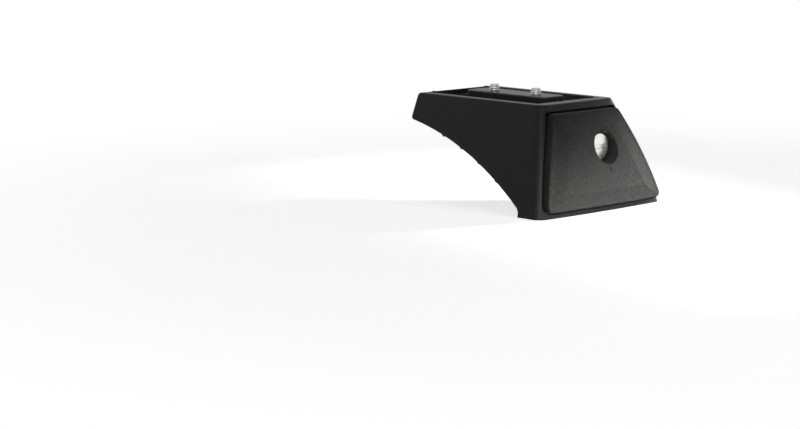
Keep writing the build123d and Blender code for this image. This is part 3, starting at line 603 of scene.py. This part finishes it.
floor_mesh = bpy.data.meshes.new("floor")
corners = [(x * FLOOR_HALF, y * FLOOR_HALF, 0.0) for x, y in ((-1, -1), (1, -1), (1, 1), (-1, 1))]
floor_mesh.from_pydata(corners, [], [(0, 1, 2, 3)])
floor_mesh.materials.append(floor_paint.material)
floor = bpy.data.objects.new("floor", floor_mesh)
bpy.context.scene.collection.objects.link(floor)
print("floor", 2 * FLOOR_HALF, "m wide")

# %% World
ROOM_LIGHT = 0.045

world = bpy.data.worlds.new("studio")
world.use_nodes = True
bpy.context.scene.world = world
sky = Graph(world.node_tree)
room = sky.node("ShaderNodeBackground", {}, {"Color": grey(1.0), "Strength": ROOM_LIGHT})
white = sky.node("ShaderNodeBackground", {}, {"Color": grey(1.0), "Strength": 1.0})
seen = sky.node("ShaderNodeMixShader", {}, {0: background_rays(sky), 1: room, 2: white})
sky.feed(sky.tree.nodes["World Output"].inputs["Surface"], seen)
print("room light", ROOM_LIGHT)

# %% [markdown]
# # Lamps and camera
#
# Two narrow strips rake the cover from the outboard side: one from the right, across the creases
# around its raised panel, and one low down, from straight ahead. Their beams fade towards the
# saddle, where the bar would shade the foot. Two soft lamps fill in, one on the leg's long side and
# one from above. A card above the camera adds no diffuse light: it shows only as sheen, down the
# leg's rounded corner.
#
# The camera stands where the photographer stood, off the outboard corner and a little above the
# bar, with a long lens.

# %% Lamps
FOCUS = (-0.03, 0.0, 0.03)
STRIP_LENGTH = 0.5
STRIP_HEIGHT = 0.03
STRIP_SPREAD = 6.0


def hang(lamp, place, aim):
    holder = bpy.data.objects.new(lamp.name, lamp)
    holder.location = place
    holder.rotation_euler = (Vector(aim) - Vector(place)).to_track_quat("-Z", "Y").to_euler()
    bpy.context.scene.collection.objects.link(holder)
    print(lamp.name, "%.2f W at" % lamp.energy, place)
    return holder


def soft_lamp(name, place, width, power):
    lamp = bpy.data.lights.new(name, "AREA")
    lamp.shape = "DISK"
    lamp.size = width
    lamp.energy = power
    return hang(lamp, place, FOCUS)


def low_strip(name, place, aim, power):
    lamp = bpy.data.lights.new(name, "AREA")
    lamp.shape = "RECTANGLE"
    lamp.size = STRIP_LENGTH
    lamp.size_y = STRIP_HEIGHT
    lamp.spread = radians(STRIP_SPREAD)
    lamp.energy = power
    return hang(lamp, place, aim)


low_strip("cover_strip", (0.24, 0.96, 0.40), (0.01, -0.03, -0.016), 0.13)
low_strip("corner_strip", (1.10, 0.15, 0.04), (0.0, -0.03, -0.016), 0.11)
soft_lamp("side_lamp", (0.1, -1.4, 0.7), 0.9, 0.9)
soft_lamp("top_lamp", (-0.3, 0.2, 1.6), 1.0, 2.5)
corner_card = soft_lamp("corner_card", (0.70, -0.65, 0.58), 0.36, 7.0)
corner_card.visible_diffuse = False

# %% Camera
CAMERA_PLACE = (0.7439, -0.8442, 0.1797)
CAMERA_DIP = 9.27
CAMERA_TURN = 46.62
LENS = 93.7
FILM_WIDTH = 36.0

view = bpy.data.cameras.new("camera")
view.lens = LENS
view.sensor_width = FILM_WIDTH
view.sensor_fit = "HORIZONTAL"
camera = bpy.data.objects.new("camera", view)
camera.location = CAMERA_PLACE
camera.rotation_euler = (radians(90 - CAMERA_DIP), 0.0, radians(CAMERA_TURN))
bpy.context.scene.collection.objects.link(camera)
bpy.context.scene.camera = camera
bpy.context.scene.view_settings.view_transform = "Standard"
print("camera at", CAMERA_PLACE)

# %% [markdown]
# # The last step
#
# The view layer is brought up to date.

# %% Finish
bpy.context.view_layer.update()
